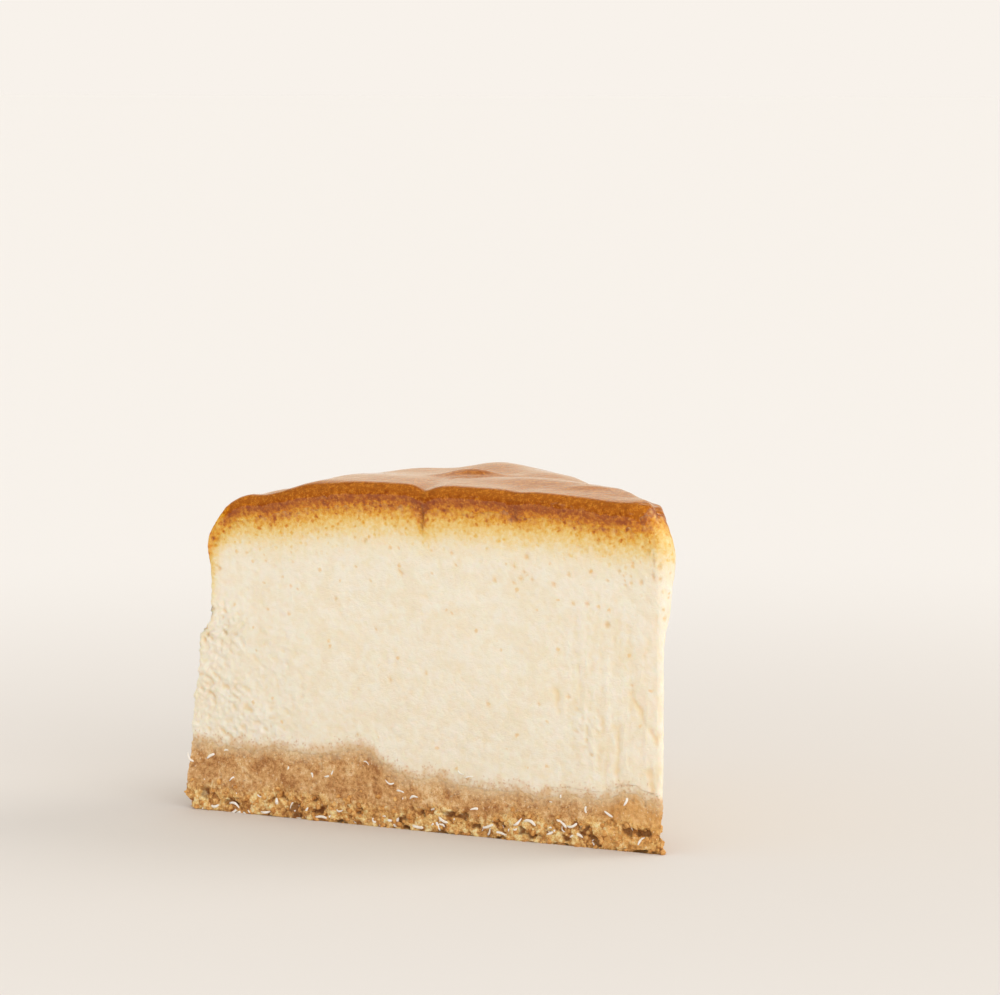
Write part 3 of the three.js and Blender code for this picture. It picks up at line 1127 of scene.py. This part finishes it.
def glaze_finish():
    """Glossy brown caramel over the baked skin, darkest along its lower edge."""
    material, tree, shader = new_material("caramel glaze")
    depth = read(tree, "skin_depth")
    on_cut = read(tree, "on_cut")
    margin = read(tree, "margin")
    full = read(tree, "full")
    skin = use_group(tree, BAKED_SKIN, Depth=depth)
    # The glaze is uneven: thin amber patches and thick dark ones.
    thin = times(tree, ease(tree, grain(tree, size=0.9), 0.49, 0.6), 0.8)
    on_top = calculate(tree, "SUBTRACT", 1.0, on_cut)
    thin = calculate(tree, "MULTIPLY_ADD", on_top, 0.55, thin)
    thick = ease(tree, grain(tree, size=2.2, finer=0.4), 0.5, 0.68)
    thick = times(tree, thick, ease(tree, margin, 0.0, 1.6), full)
    # Painted glints: golden specks over the cut that stand in for sparkles of light.
    painted_glints = specks(tree, spacing=0.7, size=0.3, amount=0.4)
    edge = vary(tree, margin, grain(tree, size=1.5, finer=0.4), amount=2.6)
    edge = times(tree, ease(tree, edge, 2.8, 1.8), ease(tree, edge, 0.2, 1.4), full, on_cut)
    colour = cover(
        tree,
        skin["Color"],
        (times(tree, thin, ease(tree, depth, 4.5, 2.5)), 0.6, AMBER),
        (thick, 0.4, GLAZE_EDGE),
        (times(tree, painted_glints, on_cut), 0.6, PAINTED_GLINT),
        (edge, 0.3, GLAZE_EDGE),
        (read(tree, "crack"), 0.7, CRACK_BROWN),
    )
    gloss = ease(tree, grain(tree, size=5.0, finer=0.3), 0.2, 0.9)
    surface = bump(tree, grain(tree, size=1.6, finer=0.4), depth=0.05)
    beads = times(tree, specks(tree, spacing=2.2, size=0.2, amount=0.3), on_cut)
    inputs = {
        "Base Color": colour,
        "Roughness": more_where(tree, gloss, more=0.07, least=0.03),
        "Normal": bump(tree, beads, depth=0.12, normal=surface),
        "IOR": 1.45,
    }
    feed(tree, shader, inputs | light_inside(weight=0.12, depth=1.2, spread=(1.0, 0.4, 0.12)))
    return material


def crumb_finish():
    """Pressed golden crumbs, with painted shade in their cavities, and paler just under the filling.
    """
    material, tree, shader = new_material("pressed crumb base")
    fine = grain(tree, size=0.75)
    patches = grain(tree, size=4.5, finer=0.35)
    pressed = vary(tree, vary(tree, patches, patches, amount=1.6), fine, amount=2.4)
    crumbly = vary(tree, read(tree, "tone"), fine, amount=2.6)
    tones = colours_by(tree, pressed, PRESSED_TONES), colours_by(tree, crumbly, LOOSE_TONES)
    loose = read(tree, "loose")
    # Painted shade in the cavities, stronger among the loose crumbs.
    hollow = vary(tree, read(tree, "hollow"), grain(tree, size=0.7), amount=0.9)
    darker = more_where(tree, loose, more=0.42, least=0.3)
    depth = vary(tree, read(tree, "below_filling"), grain(tree, size=2.0), amount=5.5)
    pale_amount = more_where(tree, ease(tree, depth, 4.5, 0.0), more=0.5, least=0.14)
    colour = cover(
        tree,
        blend_colours(tree, loose, *tones),
        (read(tree, "golden"), 0.5, POINT_GOLD),
        # Painted shade: dark brown in the cavities between the crumbs.
        (times(tree, ease(tree, hollow, 0.15, 1.0), darker), 1.0, CRUMB_CAVITY_SHADE),
        (specks(tree, spacing=0.9, size=0.22, amount=0.26), 0.5, DARK_CRUMB),
        (specks(tree, spacing=0.7, size=0.24, amount=pale_amount), 0.5, PALE_CRUMB),
        # Cream dragged down over the top of the base.
        (ease(tree, depth, 3.0, -0.6), 0.6, DRAGGED_CREAM),
    )
    inputs = {
        "Base Color": colour,
        "Roughness": 0.55,
        "Normal": bump(tree, grain(tree, size=0.5, finer=0.6), depth=0.3),
    }
    feed(tree, shader, inputs | light_inside(weight=0.15, depth=1.0, spread=(1.0, 0.55, 0.3)))
    return material


def coconut_finish():
    material, tree, shader = new_material("desiccated coconut")
    white = ease(tree, grain(tree, size=1.4), 0.3, 0.75)
    inputs = {
        "Base Color": blend_colours(tree, white, paint(COCONUT_SHADE), paint(COCONUT_WHITE)),
        "Roughness": 0.4,
        "Normal": bump(tree, grain(tree, size=0.35), depth=0.05),
    }
    feed(tree, shader, inputs)
    return material


def loose_crumb_finish():
    material, tree, shader = new_material("loose golden crumbs")
    tone = vary(tree, grain(tree, size=2.8, finer=0.4), grain(tree, size=0.7), amount=0.9)
    inputs = {
        "Base Color": colours_by(tree, tone, STRAY_TONES),
        "Roughness": 0.8,
        "Normal": bump(tree, grain(tree, size=0.4), depth=0.12),
    }
    feed(tree, shader, inputs)
    return material


# ---- Scattered shreds and crumbs ----

# Shreds that show on the front cut: along, height, length, half width, direction in degrees.
FRONT_SHREDS = (
    (110, 12, 2.2, 0.4, 30),
    (109, 1.2, 2.0, 0.4, 10),
    (104, 1.6, 2.6, 0.4, -20),
    (96, 0.9, 2.4, 0.4, 5),
    (82, 0.8, 2.8, 0.4, 0),
    (80, 10.5, 2.6, 0.35, 35),
    (59, 7, 2.0, 0.35, 15),
    (58, 0.9, 2.6, 0.45, -5),
    (53.5, 2.2, 2.6, 0.4, 30),
    (51.8, 2.9, 2.4, 0.4, -25),
    (52.5, 1.4, 2.2, 0.35, 5),
    (41, 2.5, 2.6, 0.4, 20),
    (38, 1.2, 2.4, 0.4, -10),
    (34, 4, 2.6, 0.4, 40),
    (31, 4, 2.8, 0.45, -15),
    (26, 2.5, 2.2, 0.4, 30),
    (23.5, 4.5, 2.8, 0.4, -35),
    (21, 4.5, 2.4, 0.4, 20),
    (20, 2, 3.0, 0.45, 5),
    (12.5, 7.5, 2.2, 0.35, -30),
    (45.5, 12.6, 1.8, 0.25, 10),
    (47.5, 13.4, 1.6, 0.25, -25),
)
FRONT_BENDS = (0.06, -0.14, 0.2, -0.04)  # in turn, as shares of a shred's length
FRONT_NARROWED = 0.75
SHRED_PROUD = 0.2
# Shreds that are scattered: length, half width, bend.
SCATTERED_SHREDS = (
    (3.0, 0.28, 0.5),
    (2.2, 0.34, -0.25),
    (2.6, 0.22, 0.7),
    (1.3, 0.36, 0.1),
    (0.8, 0.3, 0.0),
    (0.6, 0.26, 0.0),
)
SHRED_STEPS = 6
SHRED_SIDES = 6
SHRED_CURL = 0.12
SHRED_TWIST = 0.6
SHRED_END = 0.55  # a shred's cut ends are this much narrower
SHRED_UNEVEN = (0.8, 1.1)
SHRED_FLATNESS = 0.45
CRUMB_SHAPES = 5
CRUMB_SQUASH = (0.65, 1.15)
CRUMB_LUMPS = (0.35, 2.6)  # how far the lumps stand out, how close they are
SCATTERED_COCONUT = {"Density": 52000.0, "Smallest": 0.5, "Largest": 1.15, "Tilt": 0.7, "Seed": 5}
SCATTERED_CRUMBS = {"Density": 240000.0, "Smallest": 0.45, "Largest": 1.5, "Tilt": 1.5, "Seed": 9}
COCONUT_HIGH_UP = 0.22  # how much coconut there is above the loose part of the base
LOW_DOWN = (3.5, 7.5)
FLAT_SIDES = (0.75, 0.95)


def shred(length, half_width, bend, seed):
    """Corners and faces of one sliver of coconut: a bent and curled strip with cut ends."""
    random = np.random.default_rng(seed)
    curl = SHRED_CURL * length * random.normal()
    twist = SHRED_TWIST * random.normal()
    corners = []
    for i in range(SHRED_STEPS + 1):
        share = i / SHRED_STEPS
        narrowed = (SHRED_END if i in (0, SHRED_STEPS) else 1) * random.uniform(*SHRED_UNEVEN)
        arch = math.sin(math.pi * share)
        middle = np.array([(share - 0.5) * length, bend * arch, curl * arch])
        lean = twist * (share - 0.5)
        for k in range(SHRED_SIDES):
            turn = 2 * math.pi * k / SHRED_SIDES
            side = half_width * narrowed * math.cos(turn)
            thick = SHRED_FLATNESS * half_width * narrowed * math.sin(turn)
            up = thick * math.cos(lean) + side * math.sin(lean)
            corners.append(middle + (0, side * math.cos(lean) - thick * math.sin(lean), up))
    faces = []
    for low in range(0, SHRED_STEPS * SHRED_SIDES, SHRED_SIDES):
        high = low + SHRED_SIDES
        for k in range(SHRED_SIDES):
            beside = (k + 1) % SHRED_SIDES
            faces.append([low + k, low + beside, high + beside, high + k])
    faces.append(list(range(SHRED_SIDES))[::-1])
    faces.append([SHRED_STEPS * SHRED_SIDES + k for k in range(SHRED_SIDES)])
    return np.array(corners), faces


def crumb(seed):
    """Corners and faces of one lumpy crumb, about one millimetre across."""
    random = np.random.default_rng(seed)
    ball = bmesh.new()
    bmesh.ops.create_icosphere(ball, subdivisions=2, radius=0.5)
    squash = random.uniform(*CRUMB_SQUASH, 3)
    lift, pitch = CRUMB_LUMPS
    corners = []
    for corner in ball.verts:
        lump = 1 + lift * noise.noise(corner.co * pitch + Vector((seed * 3.1, 0, 0)))
        corners.append(np.array(corner.co) * squash * lump)
    faces = [[corner.index for corner in face.verts] for face in ball.faces]
    ball.free()
    return np.array(corners), faces


def front_shreds():
    """The shreds listed one by one, lying in the front cut."""
    placed, all_faces = [], []
    for number, (along, height, length, half_width, turn) in enumerate(FRONT_SHREDS):
        bend = FRONT_BENDS[number % len(FRONT_BENDS)] * length
        corners, faces = shred(length, FRONT_NARROWED * half_width, bend, number)
        angle = math.radians(turn)
        x = corners[:, 0] * math.cos(angle) - corners[:, 1] * math.sin(angle) - along
        z = corners[:, 0] * math.sin(angle) + corners[:, 1] * math.cos(angle) + height
        y = -corners[:, 2] - SHRED_PROUD
        start = sum(map(len, placed))
        placed.append(np.stack([x, y, z], -1))
        all_faces += [[corner + start for corner in face] for face in faces]
    return new_object("front_shreds", np.concatenate(placed), all_faces)


def merge(piece, extra):
    """Adds another object's mesh to a piece and removes that object."""
    merged = bmesh.new()
    merged.from_mesh(piece.data)
    merged.from_mesh(extra.data)
    merged.to_mesh(piece.data)
    merged.free()
    piece.data.shade_smooth()
    bpy.data.objects.remove(extra)


def keep_above_floor(piece):
    for corner in piece.data.vertices:
        corner.co.z = max(corner.co.z, CAD_BOX[0][2])


def scatter_tree():
    """Scatters the shapes of a collection over a host surface. Density is per square metre
    where the host's weight attribute is 1."""
    tree = bpy.data.node_groups.new("scatter on a cut", "GeometryNodeTree")
    for label, kind, default in (
        ("Host", "Object", None),
        ("Shapes", "Collection", None),
        ("Weight", "String", ""),
        ("Density", "Float", 1000.0),
        ("Smallest", "Float", 0.6),
        ("Largest", "Float", 1.2),
        ("Tilt", "Float", 0.5),
        ("Seed", "Int", 1),
        ("Finish", "Material", None),
    ):
        socket = tree.interface.new_socket(label, in_out="INPUT", socket_type="NodeSocket" + kind)
        if default is not None:
            socket.default_value = default
    tree.interface.new_socket("Geometry", in_out="OUTPUT", socket_type="NodeSocketGeometry")
    given = add_node(tree, "NodeGroupInput").outputs
    seed = given["Seed"]

    host = add_node(tree, "GeometryNodeObjectInfo", {"Object": given["Host"]})
    named = {"Name": given["Weight"]}
    weight = add_node(tree, "GeometryNodeInputNamedAttribute", named, data_type="FLOAT")
    density = times(tree, weight.outputs["Attribute"], given["Density"])
    inputs = {"Mesh": host.outputs["Geometry"], "Density": density, "Seed": seed}
    points = add_node(tree, "GeometryNodeDistributePointsOnFaces", inputs).outputs

    tilt, back = given["Tilt"], times(tree, given["Tilt"], -1.0)
    lowest = add_node(tree, "ShaderNodeCombineXYZ", {"X": back, "Y": back}).outputs[0]
    full_turn = {"X": tilt, "Y": tilt, "Z": FULL_TURN}
    highest = add_node(tree, "ShaderNodeCombineXYZ", full_turn).outputs[0]
    inputs = {0: lowest, 1: highest, "Seed": seed}
    turn = add_node(tree, "FunctionNodeRandomValue", inputs, data_type="FLOAT_VECTOR").outputs[0]
    inputs = {"Rotation": points["Rotation"], "Rotate By": turn}
    facing = add_node(tree, "FunctionNodeRotateRotation", inputs, rotation_space="LOCAL")

    inputs = {2: given["Smallest"], 3: given["Largest"], "Seed": seed}
    size = add_node(tree, "FunctionNodeRandomValue", inputs, data_type="FLOAT").outputs[1]
    inputs = {"Collection": given["Shapes"], "Separate Children": True, "Reset Children": True}
    inputs = {
        "Points": points["Points"],
        "Instance": add_node(tree, "GeometryNodeCollectionInfo", inputs).outputs[0],
        "Pick Instance": True,
        "Rotation": facing.outputs[0],
        "Scale": size,
    }
    placed = add_node(tree, "GeometryNodeInstanceOnPoints", inputs).outputs[0]
    real = add_node(tree, "GeometryNodeRealizeInstances", {0: placed}).outputs[0]
    inputs = {0: real, "Material": given["Finish"]}
    finished = add_node(tree, "GeometryNodeSetMaterial", inputs).outputs[0]
    add_node(tree, "NodeGroupOutput", {0: finished})
    return tree


def scatter(name, tree, host, shapes, values):
    """Scatters small shapes, given as corners and faces, and returns a plain mesh piece."""
    collection = bpy.data.collections.new("shapes")
    bpy.context.scene.collection.children.link(collection)
    for number, (corners, faces) in enumerate(shapes):
        mesh = new_mesh(f"{name}_{number}", corners * MM, faces)
        collection.objects.link(bpy.data.objects.new(mesh.name, mesh))
    carrier = add_to_scene(bpy.data.objects.new("carrier", bpy.data.meshes.new("carrier")))
    modifier = carrier.modifiers.new("scatter", "NODES")
    modifier.node_group = tree
    named = {item.name: item.identifier for item in tree.interface.items_tree}
    for label, value in {"Host": host, "Shapes": collection, **values}.items():
        modifier[named[label]] = value
    graph = bpy.context.evaluated_depsgraph_get()
    mesh = bpy.data.meshes.new_from_object(carrier.evaluated_get(graph))
    mesh.name = name
    for used in (carrier, *collection.objects):
        bpy.data.objects.remove(used)
    bpy.data.collections.remove(collection)
    return add_to_scene(bpy.data.objects.new(name, mesh))


def weigh_crumb_base(base):
    """Where coconut and loose crumbs sit on the base: mostly low down, none on its flat sides."""
    height = corner_values(base.data, "co")[:, 2] / MM
    facing_up = np.abs(corner_values(base.data, "normal")[:, 2])
    sides = 1 - smooth(*FLAT_SIDES, facing_up)
    low = 1 - smooth(*LOW_DOWN, height)
    store(base, coconut_weight=sides * mix(COCONUT_HIGH_UP, 1, low), crumb_weight=sides * low)


def make_scattered(base):
    weigh_crumb_base(base)
    tree = scatter_tree()
    shreds = [shred(*one, seed=number) for number, one in enumerate(SCATTERED_SHREDS)]
    coconut_look = coconut_finish()
    values = {"Weight": "coconut_weight", "Finish": coconut_look, **SCATTERED_COCONUT}
    coconut = scatter("coconut_shreds", tree, base, shreds, values)
    lumps = [crumb(number) for number in range(CRUMB_SHAPES)]
    crumb_look = loose_crumb_finish()
    values = {"Weight": "crumb_weight", "Finish": crumb_look, **SCATTERED_CRUMBS}
    crumbs = scatter("loose_crumbs", tree, base, lumps, values)
    merge(coconut, front_shreds())
    for piece, look in ((coconut, coconut_look), (crumbs, crumb_look)):
        set_finish(piece, look)
        keep_above_floor(piece)
    return coconut, crumbs


# ---- Floor, light and camera ----

VIEW_TURN = math.radians(28.59)
VIEW_PITCH = math.radians(5.796)
CAMERA = (373.9, -756.2, 159.6)  # from the middle of the cake, in millimetres
LENS = 149.4
FLOOR_SIZE = 60.0  # metres
FLOOR_SHADE_FADE = (0.06, 0.5)  # metres from the slice over which the floor's painted shade gives way to its paler far part, painted lighter to meet the backdrop
BRIGHT_AHEAD = (0.6, 0.92)  # reflections see the bright backdrop only when they face this way
LIGHT_COLOUR = (1, 0.99, 0.98)
# Soft lights: name, turn from behind the camera towards its right, rise up from the floor and
# width, all in degrees, and strength.
SOFT_LIGHTS = (("key", 105, 36, 34, 0.75), ("front fill", 25, 14, 60, 1.15))


def make_floor():
    half = FLOOR_SIZE / 2
    corners = np.array([(-half, -half, 0), (half, -half, 0), (half, half, 0), (-half, half, 0)])
    floor = add_to_scene(bpy.data.objects.new("floor", new_mesh("floor", corners, [(0, 1, 2, 3)])))
    material, tree, shader = new_material("pale tabletop")
    where = add_node(tree, "ShaderNodeTexCoord").outputs["Object"]
    away = add_node(tree, "ShaderNodeVectorMath", {0: where}, operation="LENGTH").outputs["Value"]
    # Painted shade round the slice, fading to a paler floor painted lighter to meet the backdrop.
    floor_shade_share = ease(tree, away, *FLOOR_SHADE_FADE)
    colour = blend_colours(tree, floor_shade_share, paint(FLOOR_PAINTED_SHADE), paint(FLOOR_FAR))
    feed(tree, shader, {"Base Color": colour, "Roughness": 0.9, "Specular IOR Level": 0.0})
    set_finish(floor, material)
    return floor


def make_world():
    """A pale backdrop, a dim room behind the camera for reflections, and soft white light."""
    world = bpy.data.worlds.new("studio")
    bpy.context.scene.world = world
    world.use_nodes = True
    tree = world.node_tree
    direction = add_node(tree, "ShaderNodeTexCoord").outputs["Generated"]
    ahead = {0: direction, 1: (-math.sin(VIEW_TURN), math.cos(VIEW_TURN), 0.0)}
    facing = add_node(tree, "ShaderNodeVectorMath", ahead, operation="DOT_PRODUCT").outputs["Value"]
    bright = ease(tree, facing, *BRIGHT_AHEAD)
    reflected = blend_colours(tree, bright, paint(DIM_ROOM), paint(WARM_BACKDROP))
    seen = add_node(tree, "ShaderNodeLightPath").outputs
    lit = blend_colours(tree, seen["Is Glossy Ray"], ROOM_LIGHT, reflected)
    colour = blend_colours(tree, seen["Is Camera Ray"], lit, paint(BACKDROP))
    feed(tree, tree.nodes["Background"], {"Color": colour})


def add_soft_light(name, turn, upward, width, strength):
    light = bpy.data.lights.new(name, "SUN")
    light.angle = math.radians(width)
    light.energy = strength
    light.color = LIGHT_COLOUR
    holder = add_to_scene(bpy.data.objects.new(name, light))
    heading = VIEW_TURN + math.radians(turn)
    level = math.cos(math.radians(upward))
    up = math.sin(math.radians(upward))
    holder.location = (math.sin(heading) * level, -math.cos(heading) * level, up)
    holder.rotation_euler = holder.location.to_track_quat("Z", "Y").to_euler()


def make_camera():
    data = bpy.data.cameras.new("camera")
    data.lens = LENS
    camera = add_to_scene(bpy.data.objects.new("camera", data))
    camera.location = place_in_frame(np.array(CAMERA))
    camera.rotation_euler = (math.pi / 2 - VIEW_PITCH, 0, VIEW_TURN)
    bpy.context.scene.camera = camera


bpy.context.scene.view_settings.view_transform = "Standard"
make_camera()
make_world()
for soft_light in SOFT_LIGHTS:
    add_soft_light(*soft_light)

filling, *filling_parts = make_filling()
glaze = make_glaze(*filling_parts)
crumb_base = make_crumb_base()
coconut, crumbs = make_scattered(crumb_base)
set_finish(filling, cream_finish())
set_finish(glaze, glaze_finish())
set_finish(crumb_base, crumb_finish())

for piece, slot in (
    (filling, "filling"),
    (glaze, "filling"),
    (crumb_base, "crumb"),
    (coconut, "crumb"),
    (crumbs, "crumb"),
):
    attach(piece, "root")
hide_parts("cheese_filling")
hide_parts("crumb_base")
make_floor()
